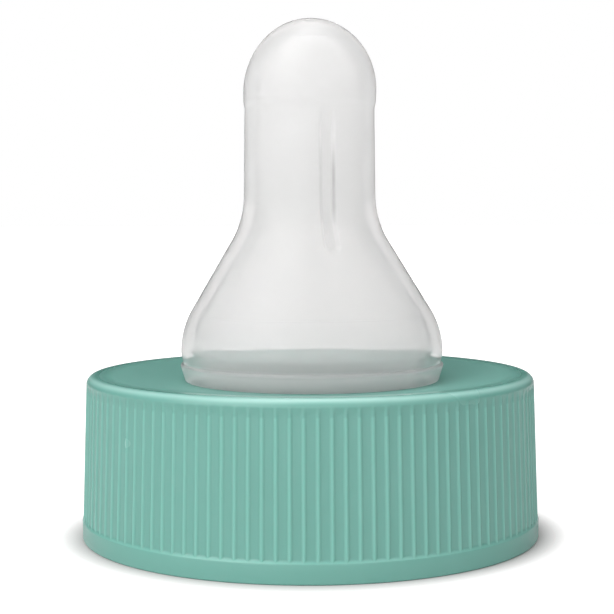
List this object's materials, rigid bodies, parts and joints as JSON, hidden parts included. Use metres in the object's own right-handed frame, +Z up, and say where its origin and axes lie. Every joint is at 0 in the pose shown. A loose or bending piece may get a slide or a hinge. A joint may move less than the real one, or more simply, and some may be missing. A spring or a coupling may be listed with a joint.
{
  "type": "feeding teat and screw cap",
  "caption": "Screw-on feeding closure: soft hollow teat with a rounded head, slim stem and flared bulb, snapped into the top of a finely ribbed screw cap that turns round it.",
  "frame": {"origin": "on the common axis, at the plane of the cap's open rim", "axes": "+Z up the axis from the cap's open rim to the teat's tip; -Y is the side nearest the camera"},
  "size_m": [0.044, 0.044, 0.0494],
  "materials": {
    "cap_plastic": "satin moulded polypropylene, mint green",
    "teat_silicone": "soft translucent silicone, milky clear, satin"
  },
  "bodies": {
    "cap": {"screw_cap": "cap_plastic"},
    "teat": {"teat": "teat_silicone"}
  },
  "joints": [
    {"name": "teat_swivel", "type": "hinge", "parent": "cap", "child": "teat", "pos_m": [0, 0, 0.0143], "axis": [0, 0, 1], "continuous": true}
  ]
}
